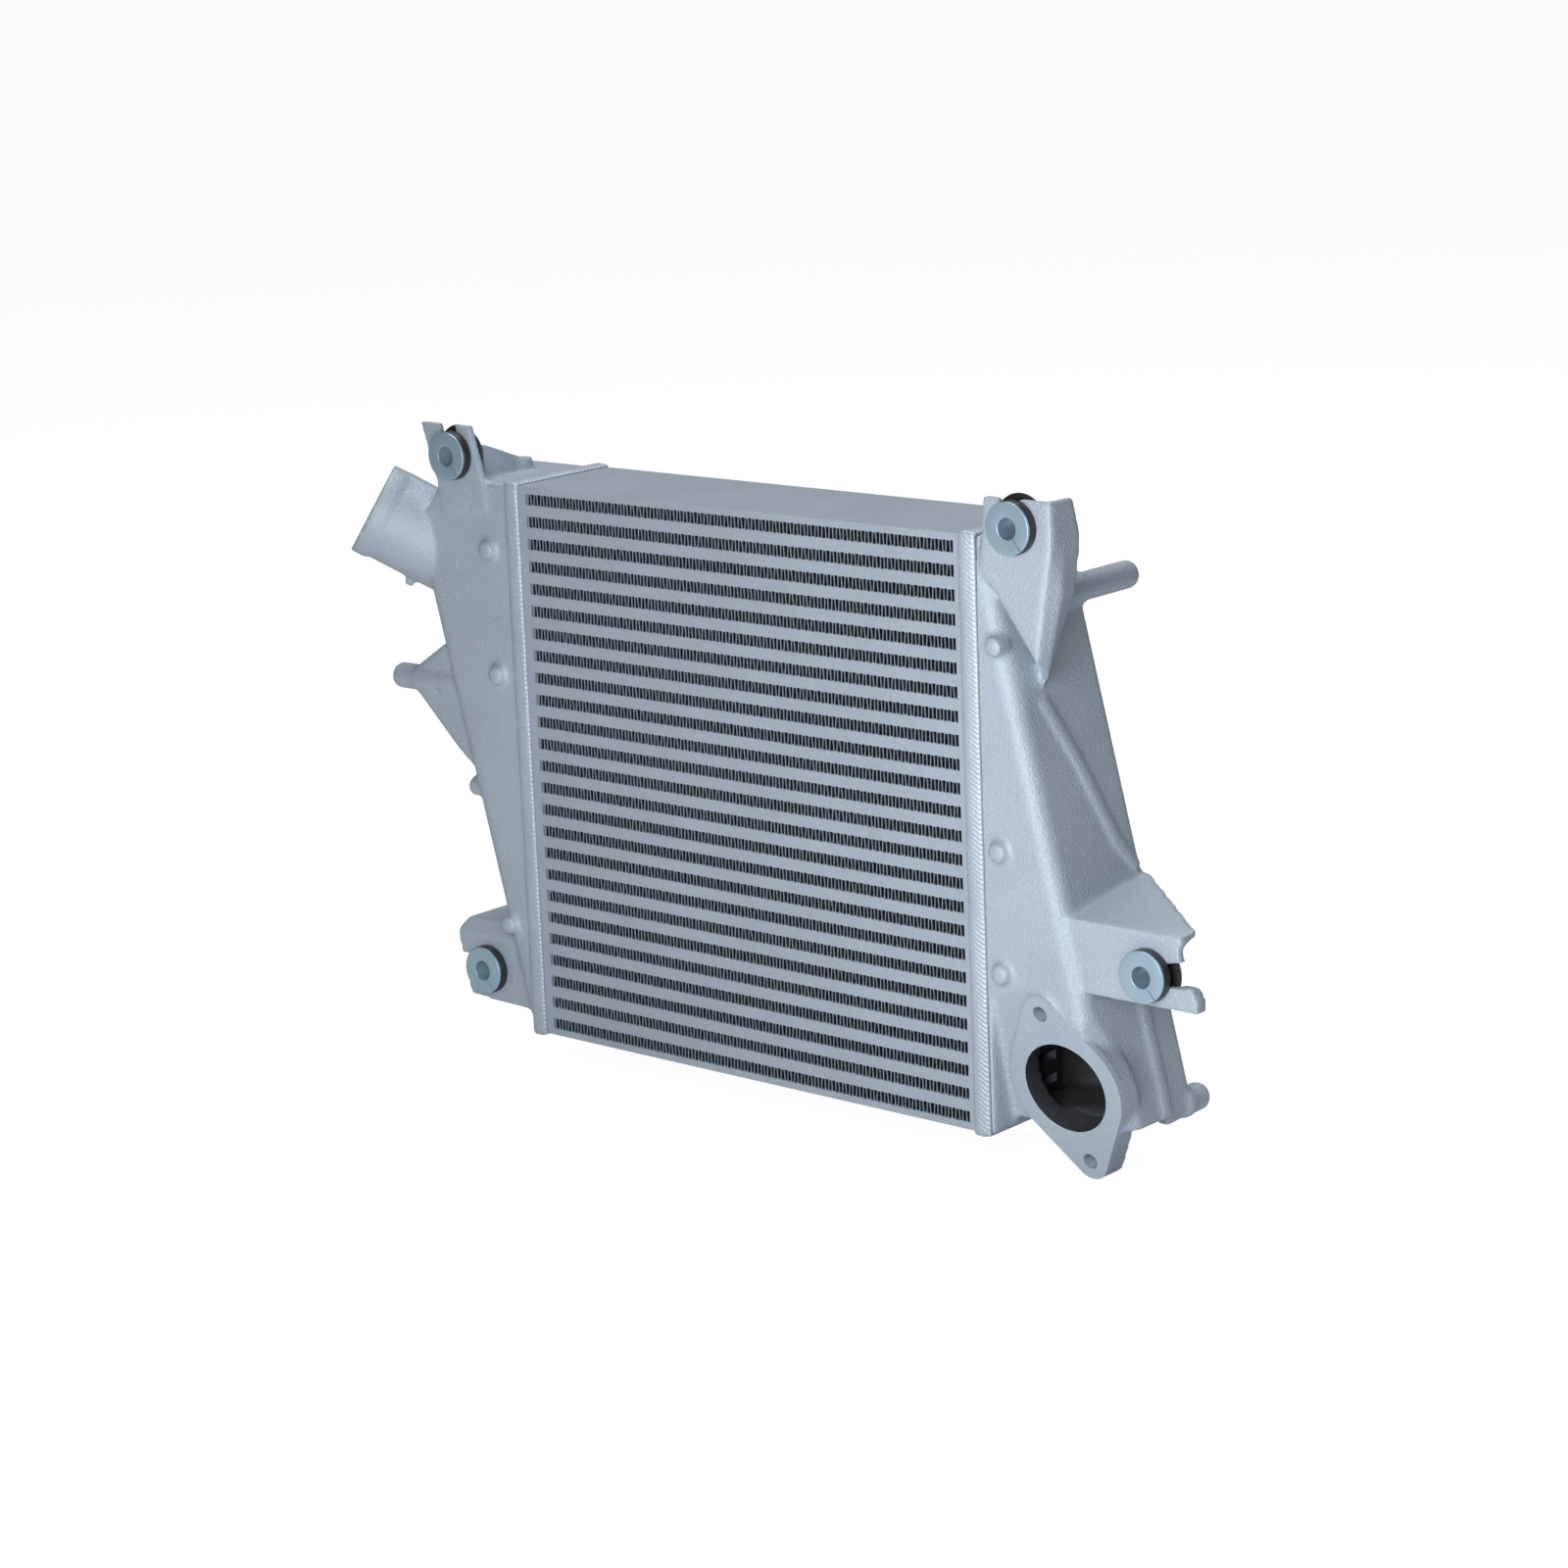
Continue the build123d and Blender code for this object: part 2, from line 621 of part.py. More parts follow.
cavity_chamfer = inlet_corner_chamfer + cavity_corner_extra
with BuildPart() as inlet_cavity:
    with BuildSketch(depth_plane(core_front + tank_wall)):
        with BuildLine():
            Polyline((core_left, core_bottom + tank_wall), (core_left, core_top - tank_wall),
                     (inlet_side(core_top) + cavity_chamfer, core_top - tank_wall),
                     (inlet_side(core_top - cavity_chamfer) + inlet_wall_along_x,
                      core_top - cavity_chamfer),
                     (inlet_side(core_bottom + tank_wall) + inlet_wall_along_x,
                      core_bottom + tank_wall), close=True)
        make_face()
    extrude(amount=-(core_depth - 2 * tank_wall))

spout_out = Vector(-cos(radians(spout_rise)) * cos(radians(spout_swing)),
                   -cos(radians(spout_rise)) * sin(radians(spout_swing)), sin(radians(spout_rise)))
spout_mouth = Vector(core_left - spout_left_of_core, core_front - spout_forward,
                     core_top - spout_below_top)
spout_plane = Plane(origin=spout_mouth, x_dir=(sin(radians(spout_swing)),
                                               -cos(radians(spout_swing)), 0), z_dir=spout_out)

# Lower wing of the inlet tank: forked front plate under a flat roof
inlet_wing_front = core_front + inlet_wing_recess
inlet_wing_top = inlet_wing_z + 20.0
inlet_wing_depth = 44.0
inlet_roof_thickness = 5.0
brow_drop = 4.0
brow_run = 7.0
inlet_wing_left = inlet_wing_x - 20.5
with BuildPart() as inlet_wing:
    with BuildSketch(depth_plane(inlet_wing_front)):
        with BuildLine():
            Polyline((inlet_wing_left, inlet_wing_top - brow_drop),
                     (inlet_side(inlet_wing_top) + 3, inlet_wing_top - brow_drop),
                     (inlet_side(core_bottom + 8) + 3, core_bottom + 8),
                     (inlet_wing_x - 13.5, inlet_wing_z - 14.7),
                     (inlet_wing_x - 18, inlet_wing_z), close=True)
        make_face()
    extrude(amount=-ear_thickness)
    with BuildSketch(Plane.YZ.offset(inlet_wing_left)):
        with BuildLine():
            Polyline((inlet_wing_front, inlet_wing_top - inlet_roof_thickness),
                     (inlet_wing_front, inlet_wing_top - brow_drop),
                     (inlet_wing_front + brow_run, inlet_wing_top),
                     (inlet_wing_front + inlet_wing_depth, inlet_wing_top),
                     (inlet_wing_front + inlet_wing_depth, inlet_wing_top - inlet_roof_thickness),
                     close=True)
        make_face()
    extrude(amount=inlet_side(inlet_wing_top) + 3 - inlet_wing_left)
    extrude(depth_plane(inlet_wing_front) * keyhole(inlet_wing_x, inlet_wing_z, 180, 30),
            amount=-ear_thickness, mode=Mode.SUBTRACT)

# Gusset on top of the inlet tank, behind the upper grommet, ending in a small boss
gusset_front = core_front - inlet_ear_step + ear_thickness + grommet_back + lip_clearance
gusset_thickness = 5.0
gusset_boss_y = core_front + 34.0
gusset_boss_radius = 5.0
gusset_boss_rise = 5.7

# Side pin of the inlet tank, on a flat web with a small pocket
side_pin_z = core_top - 96.5
side_pin_y = core_front + 10.0
side_pin_reach = 43.0
side_web_thickness = 8.0
side_web_reach = 28.3
pocket_radius = 5.0
pocket_depth = 4.0
side_boss_drop = 142.0
side_boss_reach = 5.2
side_boss_radius = 4.5


def spout_at(x, y, z):
    """A place given in the spout's own frame, as a location in the part."""
    return spout_plane * Location((x, y, z))


with BuildPart() as inlet_tank:
    add(inlet_shell.part)
    with Locations(spout_plane):
        Cylinder(spout_radius, spout_length, align=(Align.CENTER, Align.CENTER, Align.MAX))
        Cylinder(bead_band_radius, bead_band_width, align=(Align.CENTER, Align.CENTER, Align.MAX))
    with BuildSketch(depth_plane(core_front - inlet_ear_step)):
        with BuildLine():
            Polyline((inlet_ear_x - 20.5, inlet_ear_z + 13.6), (inlet_ear_x + 9.9, inlet_ear_z + 13.5),
                     (inlet_ear_x + 16.4, inlet_ear_z - 8.4), (inlet_ear_x + 18.5, inlet_ear_z - 23.3),
                     (inlet_ear_x - 9, inlet_ear_z - 25.7),
                     (inlet_ear_x - 12.6, inlet_ear_z - 11.5), close=True)
        make_face()
    extrude(amount=-ear_thickness)
    with BuildSketch(Plane.YZ.offset(inlet_ear_x + 5)):
        with BuildLine():
            Polyline((gusset_front, inlet_ear_z + 4.5), (gusset_boss_y, core_top + gusset_boss_rise),
                     (gusset_boss_y, core_top - tank_wall / 2),
                     (gusset_front, core_top - tank_wall / 2), close=True)
        make_face()
    extrude(amount=gusset_thickness)
    add(inlet_wing.part)
    with Locations(spout_at(0, 0, -bead_band_width)):
        Box(spout_ridge_width, spout_radius + spout_ridge_height, spout_ridge_length,
            align=(Align.CENTER, Align.MIN, Align.MAX))
    with Locations(spout_at(0, -spout_radius, -spout_key_from_mouth)):
        Box(spout_key_width, 2 * spout_key_height, spout_key_length,
            align=(Align.CENTER, Align.CENTER, Align.MAX))
    with Locations((inlet_ear_x + 5 + gusset_thickness / 2, gusset_boss_y, core_top - tank_wall / 2)):
        Cylinder(gusset_boss_radius, tank_wall / 2 + gusset_boss_rise,
                 align=(Align.CENTER, Align.CENTER, Align.MIN))
    web_wall = inlet_side(side_pin_z)
    with BuildSketch(depth_plane(side_pin_y - side_web_thickness / 2)):
        with BuildLine():
            Polyline((inlet_side(side_pin_z + 22) + 2, side_pin_z + 22),
                     (web_wall - side_web_reach, side_pin_z + pin_radius),
                     (web_wall - side_web_reach, side_pin_z - pin_radius),
                     (inlet_side(side_pin_z - 31) - 10, side_pin_z - 31),
                     (inlet_side(side_pin_z - 42) + 2, side_pin_z - 42), close=True)
        make_face()
    extrude(amount=-side_web_thickness)
    with Locations(Location((web_wall + cast_root, side_pin_y, side_pin_z), (0, -90, 0))):
        Cylinder(pin_root_radius, side_web_reach + cast_root,
                 align=(Align.CENTER, Align.CENTER, Align.MIN))
    side_pin_start = Location((web_wall - side_web_reach, side_pin_y, side_pin_z), (0, -90, 0))
    add(side_pin_start * round_pin(side_pin_reach - side_web_reach))
    boss_wall = inlet_side(core_top - side_boss_drop)
    with Locations(Location((boss_wall + 2, core_front + 6, core_top - side_boss_drop), (0, -90, 0))):
        Cylinder(side_boss_radius, side_boss_reach + 2,
                 align=(Align.CENTER, Align.CENTER, Align.MIN))
    with Locations(Location((web_wall - 14, side_pin_y - pin_radius, side_pin_z), (90, 0, 0))):
        Cylinder(pocket_radius, pin_radius + pocket_depth, mode=Mode.SUBTRACT,
                 align=(Align.CENTER, Align.CENTER, Align.MAX))
    seat_back = core_front - inlet_ear_step + ear_thickness
    with Locations(Location((inlet_ear_x, seat_back, inlet_ear_z), (90, 0, 0))):
        Cylinder(grommet_lip_radius + lip_clearance, grommet_back + lip_clearance,
                 align=(Align.CENTER, Align.CENTER, Align.MAX), mode=Mode.SUBTRACT)
    add(inlet_cavity.part, mode=Mode.SUBTRACT)
    with Locations(spout_plane):
        Cylinder(spout_bore_radius, spout_length, align=(Align.CENTER, Align.CENTER, Align.MAX),
                 mode=Mode.SUBTRACT)
    extrude(depth_plane(core_front - inlet_ear_step) * keyhole(inlet_ear_x, inlet_ear_z, ear_lean, 30),
            amount=-ear_thickness, mode=Mode.SUBTRACT)
    add(ejector_bosses([(core_left - 18.0, core_top - 30.1), (core_left - 16.3, core_top - 86.5),
                        (core_left - 17.2, core_bottom + 48.5)]))
save(inlet_tank.part, "inlet_tank")
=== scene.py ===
import bpy
import random
from math import cos, hypot, pi, radians, sin, sqrt
from mathutils import Matrix, Vector


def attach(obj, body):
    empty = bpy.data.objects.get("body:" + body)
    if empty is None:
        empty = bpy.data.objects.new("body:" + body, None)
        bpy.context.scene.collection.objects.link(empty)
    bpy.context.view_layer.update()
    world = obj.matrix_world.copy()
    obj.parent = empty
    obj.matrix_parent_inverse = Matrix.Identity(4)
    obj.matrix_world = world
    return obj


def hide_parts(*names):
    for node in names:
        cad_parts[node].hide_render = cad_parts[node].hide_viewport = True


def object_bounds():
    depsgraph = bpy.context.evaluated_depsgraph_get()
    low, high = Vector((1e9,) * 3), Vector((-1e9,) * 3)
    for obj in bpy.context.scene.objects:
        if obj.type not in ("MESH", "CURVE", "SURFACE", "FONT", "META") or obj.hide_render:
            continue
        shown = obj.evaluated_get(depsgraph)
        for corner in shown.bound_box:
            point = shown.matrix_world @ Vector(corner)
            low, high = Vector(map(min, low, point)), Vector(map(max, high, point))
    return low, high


# Charge-air intercooler: a bar and plate core between two cast end tanks.
# Lengths are in metres; mm turns millimetres into them. The origin is the outlet port's centre.
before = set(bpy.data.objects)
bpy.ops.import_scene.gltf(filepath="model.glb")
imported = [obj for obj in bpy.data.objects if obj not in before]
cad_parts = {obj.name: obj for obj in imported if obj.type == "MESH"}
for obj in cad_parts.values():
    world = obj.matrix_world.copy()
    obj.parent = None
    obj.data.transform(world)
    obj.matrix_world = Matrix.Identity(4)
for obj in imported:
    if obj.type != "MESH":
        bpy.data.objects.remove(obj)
cad_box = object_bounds()
mm = 0.001

# The photograph's camera: a long lens from the front right, a little above the part.
camera_data = bpy.data.cameras.new("photo_camera")
camera_data.sensor_fit = "HORIZONTAL"
camera_data.sensor_width = 36.0
camera_data.lens = 92.38
camera_data.clip_start = 0.05
camera = bpy.data.objects.new("photo_camera", camera_data)
bpy.context.scene.collection.objects.link(camera)
camera_place = (953.5 * mm, -1245.2 * mm, 508.1 * mm)
camera_azimuth = 41.45
camera_elevation = 13.51
camera_roll = -2.30
turn = (Matrix.Rotation(radians(camera_azimuth), 4, "Z")
        @ Matrix.Rotation(radians(90 - camera_elevation), 4, "X")
        @ Matrix.Rotation(radians(camera_roll), 4, "Z"))
camera.matrix_world = Matrix.Translation(camera_place) @ turn
bpy.context.scene.camera = camera
bpy.context.scene.view_settings.view_transform = "Standard"

# White studio floor, just under the part. The camera sees it almost white, with a soft shadow.
floor_gap = 0.5 * mm
floor_side = 12.0
floor_tone = (0.62, 0.62, 0.63, 1)
floor_glow = 1.34
glow_share = 0.7
floor_z = cad_box[0][2] - floor_gap
floor_mesh = bpy.data.meshes.new("studio_floor")
floor_mesh.from_pydata([(-floor_side, -floor_side, floor_z), (floor_side, -floor_side, floor_z),
                        (floor_side, floor_side, floor_z), (-floor_side, floor_side, floor_z)],
                       [], [(0, 1, 2, 3)])
floor = bpy.data.objects.new("studio_floor", floor_mesh)
bpy.context.scene.collection.objects.link(floor)
floor_paint = bpy.data.materials.new("studio_floor")
floor_paint.use_nodes = True
nodes, links = floor_paint.node_tree.nodes, floor_paint.node_tree.links
nodes.clear()
surface = nodes.new("ShaderNodeOutputMaterial")
lit = nodes.new("ShaderNodeBsdfDiffuse")
lit.inputs["Color"].default_value = floor_tone
glow = nodes.new("ShaderNodeEmission")
glow.inputs["Strength"].default_value = floor_glow
mix = nodes.new("ShaderNodeMixShader")
path = nodes.new("ShaderNodeLightPath")
seen = nodes.new("ShaderNodeMath")
seen.operation = "MULTIPLY"
seen.inputs[1].default_value = glow_share
links.new(path.outputs["Is Camera Ray"], seen.inputs[0])
links.new(seen.outputs[0], mix.inputs["Fac"])
links.new(lit.outputs[0], mix.inputs[1])
links.new(glow.outputs[0], mix.inputs[2])
links.new(mix.outputs[0], surface.inputs["Surface"])
floor_mesh.materials.append(floor_paint)

# White surroundings: white to the camera, weaker as a light.
surroundings_light = 0.16
world = bpy.data.worlds.new("white_studio")
bpy.context.scene.world = world
world.use_nodes = True
nodes, links = world.node_tree.nodes, world.node_tree.links
nodes.clear()
sky = nodes.new("ShaderNodeOutputWorld")
white = nodes.new("ShaderNodeBackground")
white.inputs["Color"].default_value = (1, 1, 1, 1)
path = nodes.new("ShaderNodeLightPath")
either = nodes.new("ShaderNodeMath")
either.operation = "MAXIMUM"
strength = nodes.new("ShaderNodeMapRange")
strength.inputs["To Min"].default_value = surroundings_light
strength.inputs["To Max"].default_value = 1.0
links.new(path.outputs["Is Camera Ray"], either.inputs[0])
links.new(path.outputs["Is Transmission Ray"], either.inputs[1])
links.new(either.outputs[0], strength.inputs["Value"])
links.new(strength.outputs[0], white.inputs["Strength"])
links.new(white.outputs[0], sky.inputs["Surface"])

# Soft lamps: the main one stands close in front of the outlet tank, so that the light falls off
# towards the inlet tank and the right sides stay in half shade; one hangs above.
lamp_target = Vector((-0.17, 0.03, 0.1))
for lamp_name, place, size, watts in (("front", (0.18, -0.58, 0.24), 0.4, 4.6),
                                      ("overhead", (-0.5, 0.5, 2.0), 1.2, 26)):
    lamp_data = bpy.data.lights.new(lamp_name, "AREA")
    lamp_data.size = size
    lamp_data.energy = watts
    lamp = bpy.data.objects.new(lamp_name, lamp_data)
    aim = lamp_target - Vector(place)
    lamp.matrix_world = Matrix.Translation(place) @ aim.to_track_quat("-Z", "Y").to_matrix().to_4x4()
    bpy.context.scene.collection.objects.link(lamp)


# Outlet tank: one sand casting under fine silver paint, with soft edges everywhere but on the
# machined port. The CAD shape is turned into an even skin and softened; the flange's face, its
# bore and its threaded holes are cut afresh, so they stay crisp.
def metal(name, colour, metallic, roughness, grain_size, grain_depth, speckle=0.0):
    """A metal finish: fine grain in relief, slow changes of tone and, if asked, light specks."""
    tone_swing = 0.1
    tone_scale = 28
    fleck_start, fleck_full = 0.60, 0.72
    fleck_colour = (0.75, 0.80, 0.86, 1)
    roughness_swing = 0.08
    paint = bpy.data.materials.new(name)
    paint.use_nodes = True
    nodes, links = paint.node_tree.nodes, paint.node_tree.links
    shader = nodes["Principled BSDF"]
    shader.inputs["Metallic"].default_value = metallic
    place = nodes.new("ShaderNodeTexCoord")
    grain = nodes.new("ShaderNodeTexNoise")
    grain.inputs["Scale"].default_value = 1 / grain_size
    grain.inputs["Detail"].default_value = 3
    links.new(place.outputs["Object"], grain.inputs["Vector"])
    bump = nodes.new("ShaderNodeBump")
    bump.inputs["Distance"].default_value = grain_depth
    links.new(grain.outputs["Fac"], bump.inputs["Height"])
    links.new(bump.outputs["Normal"], shader.inputs["Normal"])
    tone = nodes.new("ShaderNodeTexNoise")
    tone.inputs["Scale"].default_value = tone_scale
    links.new(place.outputs["Object"], tone.inputs["Vector"])
    mixed = nodes.new("ShaderNodeMix")
    mixed.data_type = "RGBA"
    mixed.inputs["A"].default_value = (*[c * (1 - tone_swing) for c in colour], 1)
    mixed.inputs["B"].default_value = (*[c * (1 + tone_swing) for c in colour], 1)
    links.new(tone.outputs["Fac"], mixed.inputs["Factor"])
    fleck = nodes.new("ShaderNodeMapRange")
    fleck.inputs["From Min"].default_value = fleck_start
    fleck.inputs["From Max"].default_value = fleck_full
    fleck.inputs["To Max"].default_value = speckle
    links.new(grain.outputs["Fac"], fleck.inputs["Value"])
    flecked = nodes.new("ShaderNodeMix")
    flecked.data_type = "RGBA"
    flecked.inputs["B"].default_value = fleck_colour
    links.new(fleck.outputs[0], flecked.inputs["Factor"])
    links.new(mixed.outputs["Result"], flecked.inputs["A"])
    links.new(flecked.outputs["Result"], shader.inputs["Base Color"])
    rough = nodes.new("ShaderNodeMapRange")
    rough.inputs["To Min"].default_value = roughness - roughness_swing
    rough.inputs["To Max"].default_value = roughness + roughness_swing
    links.new(grain.outputs["Fac"], rough.inputs["Value"])
    links.new(rough.outputs[0], shader.inputs["Roughness"])
    return paint


def placed(name, mesh, material):
    """A new object with this mesh and material, riding on the part's root."""
    mesh.materials.clear()
    mesh.materials.append(material)
    piece = bpy.data.objects.new(name, mesh)
    bpy.context.scene.collection.objects.link(piece)
    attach(piece, "root")
    return piece


def prism(outline, axis_place, length):
    """A closed prism: a convex outline in x and y, from z = 0 down by length, then placed."""
    count = len(outline)
    points = [(x, y, 0) for x, y in outline] + [(x, y, -length) for x, y in outline]
    faces = [tuple(range(count)), tuple(reversed(range(count, 2 * count)))]
    faces += [(i, i + count, (i + 1) % count + count, (i + 1) % count) for i in range(count)]
    mesh = bpy.data.meshes.new("prism")
    mesh.from_pydata(points, [], faces)
    mesh.transform(axis_place)
    return mesh


def circle(radius, count, centre=(0, 0)):
    """Points round a circle, anticlockwise."""
    return [(centre[0] + radius * cos(2 * pi * i / count), centre[1] + radius * sin(2 * pi * i / count))
            for i in range(count)]


def hull(points):
    """Convex outline round the points, anticlockwise."""
    ordered = sorted(set(points))
    sides = []
    for run in (ordered, ordered[::-1]):
        side = []
        for p in run:
            while len(side) > 1 and ((side[-1][0] - side[-2][0]) * (p[1] - side[-2][1])
                                     - (side[-1][1] - side[-2][1]) * (p[0] - side[-2][0])) <= 0:
                side.pop()
            side.append(p)
        sides += side[:-1]
    return sides


def soft_casting(node_name, added, cut):
    """The node's shape with an even, softened skin, then crisp solids added and cut away."""
    skin_cell = 1.25 * mm
    softening_rounds = 5
    sharp_angle = 35
    source = bpy.data.objects.new("casting_source", bpy.data.objects[node_name].data.copy())
    bpy.context.scene.collection.objects.link(source)
    even = source.modifiers.new("even", "REMESH")
    even.mode = "VOXEL"
    even.voxel_size = skin_cell
    soft = source.modifiers.new("soft", "SMOOTH")
    soft.iterations = softening_rounds
    tools = []
    for kind, meshes in (("UNION", added), ("DIFFERENCE", cut)):
        for mesh in meshes:
            tool = bpy.data.objects.new("casting_tool", mesh)
            bpy.context.scene.collection.objects.link(tool)
            shaped = source.modifiers.new("shaped", "BOOLEAN")
            shaped.operation = kind
            shaped.object = tool
            tools.append(tool)
    bpy.context.view_layer.update()
    done = bpy.data.meshes.new_from_object(source.evaluated_get(bpy.context.evaluated_depsgraph_get()))
    for item in tools + [source]:
        bpy.data.objects.remove(item)
    done.polygons.foreach_set("use_smooth", [True] * len(done.polygons))
    done.set_sharp_from_angle(angle=radians(sharp_angle))
    return done


casting_paint = metal("silver_casting", (0.38, 0.45, 0.53), 0.25, 0.58, 1.2 * mm, 0.45 * mm, 0.25)
# painted shade: a near-black finish for the hollow inside the outlet tank and its port's bore
painted_shade_inside = metal("painted_shade_inside", (0.055, 0.06, 0.066), 0.3, 0.5, 1.2 * mm, 0.2 * mm, 0.1)
port_lean = radians(12.8)
port_up = Vector((0, -sin(port_lean), cos(port_lean)))
port_back = Vector((0, cos(port_lean), sin(port_lean)))
port_face = Matrix(((1, 0, 0, 0), (0, -sin(port_lean), -cos(port_lean), 0),
                    (0, cos(port_lean), -sin(port_lean), 0), (0, 0, 0, 1)))
flange_radius = 27.78 * mm
flange_ear_radius = 8.18 * mm
flange_plate_depth = 3 * mm
port_bore_radius = 20.1 * mm
port_bore_depth = 14 * mm
bolt_reach = 33.7 * mm
bolt_angle = radians(101)
bolt_hole_radius = 3.45 * mm
bolt_hole_depth = 11 * mm
cut_start = 1 * mm
bolts = [(bolt_reach * cos(bolt_angle), bolt_reach * sin(bolt_angle)),
         (-bolt_reach * cos(bolt_angle), -bolt_reach * sin(bolt_angle))]
around = circle(flange_radius, 96)
for bolt in bolts:
    around += circle(flange_ear_radius, 48, bolt)
flange_plate = prism(hull(around), port_face, flange_plate_depth)
port_bore = prism(circle(port_bore_radius, 128), port_face @ Matrix.Translation((0, 0, cut_start)),
                  cut_start + port_bore_depth)
bolt_holes = [prism(circle(bolt_hole_radius, 40), port_face @ Matrix.Translation((x, y, cut_start)),
                    cut_start + bolt_hole_depth) for x, y in bolts]
outlet_casting = soft_casting("outlet_tank", [flange_plate], [port_bore, *bolt_holes])
outlet_tank = placed("outlet_tank_casting", outlet_casting, casting_paint)

# The outlet tank's inside is bare metal, but its near-black colour is painted shade for the dark
# hollow: its faces lie within the walls, or in the port's bore.
outlet_casting.materials.append(painted_shade_inside)
side_foot_x, side_foot_z, side_lean = 28.8 * mm, -16.2 * mm, 0.2486
rim_edge_x, rim_floor_z = -31.7 * mm, -24.2 * mm
sloping_floor_z, floor_slope = -19.7 * mm, 0.058
inner_front, inner_back, inner_top = -4.5 * mm, 48.5 * mm, 224 * mm
side_inset, floor_inset = 3 * mm, 2.2 * mm
inside_depth = 5 * mm
for face in outlet_casting.polygons:
    x, y, z = face.center
    depth_in_port = face.center.dot(port_back)
    rise = face.center.dot(port_up)
    in_bore = 0.4 * mm < depth_in_port < 16 * mm and hypot(x, rise) < port_bore_radius + 0.9 * mm
    in_bolt_hole = any(hypot(x - bolt_x, rise - bolt_rise) < bolt_hole_radius + 0.35 * mm
                       for bolt_x, bolt_rise in bolts)
    side_x = side_foot_x + (side_foot_z - z) * side_lean
    floor_under = rim_floor_z if x < rim_edge_x else sloping_floor_z + (x - rim_edge_x) * floor_slope
    in_tank = (depth_in_port > inside_depth and inner_front < y < inner_back
               and x < side_x - side_inset and floor_under + floor_inset < z < inner_top)
    # faces in the port's bore or the tank's hollow get the painted shade
    face.material_index = 1 if in_bore or in_tank and not in_bolt_hole else 0
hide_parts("outlet_tank")

# Inlet tank: the same kind of casting, with the hose spout at its upper corner. Its bore is
# cut afresh.
spout_swing = radians(41.7)
spout_rise = radians(30.4)
spout_out = Vector((-cos(spout_rise) * cos(spout_swing), -cos(spout_rise) * sin(spout_swing),
                    sin(spout_rise)))
spout_mouth = Vector((-378.3, -11.3, 210.8)) * mm
spout_bore_radius = 17.6 * mm
spout_bore_depth = 44 * mm
spout_place = Matrix.Translation(spout_mouth) @ spout_out.to_track_quat("Z", "Y").to_matrix().to_4x4()
spout_bore = prism(circle(spout_bore_radius, 96), spout_place @ Matrix.Translation((0, 0, cut_start)),
                   cut_start + spout_bore_depth)
inlet_casting = soft_casting("inlet_tank", [], [spout_bore])
inlet_tank = placed("inlet_tank_casting", inlet_casting, casting_paint)
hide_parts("inlet_tank")

# Weld beads: hand-laid beads round both joints of core and tank, crowned and scalloped by the
# weld pool every couple of millimetres.
core_front = -7.0 * mm
core_depth = 58.0 * mm
core_bottom = -24.2 * mm
core_top = 226.8 * mm
weld_paint = metal("weld_metal", (0.40, 0.47, 0.55), 0.35, 0.48, 0.9 * mm, 0.15 * mm, 0.4)
bead_height = 1.9 * mm
bead_rows, bead_columns = 1500, 12
ripple_pitch = 2.1 * mm
ripple_depth = 0.95 * mm
ripple_slant = 3.2 * mm
smooth_side_ripple = 0.15
wander_rows = 40
wander_lift = 0.12 * mm
wander_width = 0.04
bead_sink = 0.1 * mm
bead_root = 0.9


def loop_point(travel):
    """Point on the core's outline and its outward direction, after a travel up its front side."""
    width, height, corner = core_depth, core_top - core_bottom, 1.5 * mm
    runs = [(height, (0, 1)), (width, (1, 0)), (height, (0, -1)), (width, (-1, 0))]
    y, z = core_front, core_bottom
    for length, (step_y, step_z) in runs:
        if travel <= length:
            start, end = min(travel, corner) / corner, min(length - travel, corner) / corner
            corner_turn = radians(45) * (end - start)
            out_y, out_z = -step_z, step_y
            return (y + step_y * travel, z + step_z * travel,
                    out_y * cos(corner_turn) - step_y * sin(corner_turn),
                    out_z * cos(corner_turn) - step_z * sin(corner_turn))
        travel -= length
        y, z = y + step_y * length, z + step_z * length
    return core_front, core_bottom, -1, 0


def weld_bead(name, node_name, middle_x, width, seed):
    """A closed rippled band round the core at middle_x."""
    chance = random.Random(seed)
    around_core = 2 * (core_depth + core_top - core_bottom)
    wander = [chance.uniform(-1, 1) for _ in range(bead_rows // wander_rows + 3)]
    points, faces = [], []
    for row in range(bead_rows):
        travel = around_core * row / bead_rows
        y, z, out_y, out_z = loop_point(travel)
        at = row / wander_rows
        drift = wander[int(at)] + (wander[int(at) + 1] - wander[int(at)]) * (at - int(at))
        if row > bead_rows - wander_rows:
            drift = drift + (wander[0] - drift) * (row - bead_rows + wander_rows) / wander_rows
        for column in range(bead_columns + 1):
            across = 2 * column / bead_columns - 1
            phase = 2 * pi * (travel + ripple_slant * across) / ripple_pitch
            crown = sqrt(max(0, 1 - across * across))
            rippled = min(1, max(smooth_side_ripple, 0.6 + 1.2 * across)) * (0.75 + 0.25 * drift)
            groove = ripple_depth * rippled * (0.5 - 0.5 * sin(phase))
            lift = crown * (bead_height - groove + wander_lift * (drift - 1))
            points.append((middle_x + across * width / 2 * (1 - wander_width * abs(drift)),
                           y + out_y * lift, z + out_z * lift))
        for side in (1, -1):
            points.append((middle_x + side * width / 2 * bead_root,
                           y - out_y * bead_sink, z - out_z * bead_sink))
    ring = bead_columns + 3
    for row in range(bead_rows):
        here, there = row * ring, (row + 1) % bead_rows * ring
        for i in range(ring):
            j = (i + 1) % ring
            faces.append((here + i, here + j, there + j, there + i))
    mesh = bpy.data.meshes.new(name)
    mesh.from_pydata(points, [], faces)
    mesh.polygons.foreach_set("use_smooth", [True] * len(faces))
    bead = placed(name, mesh, weld_paint)
    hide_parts(node_name)


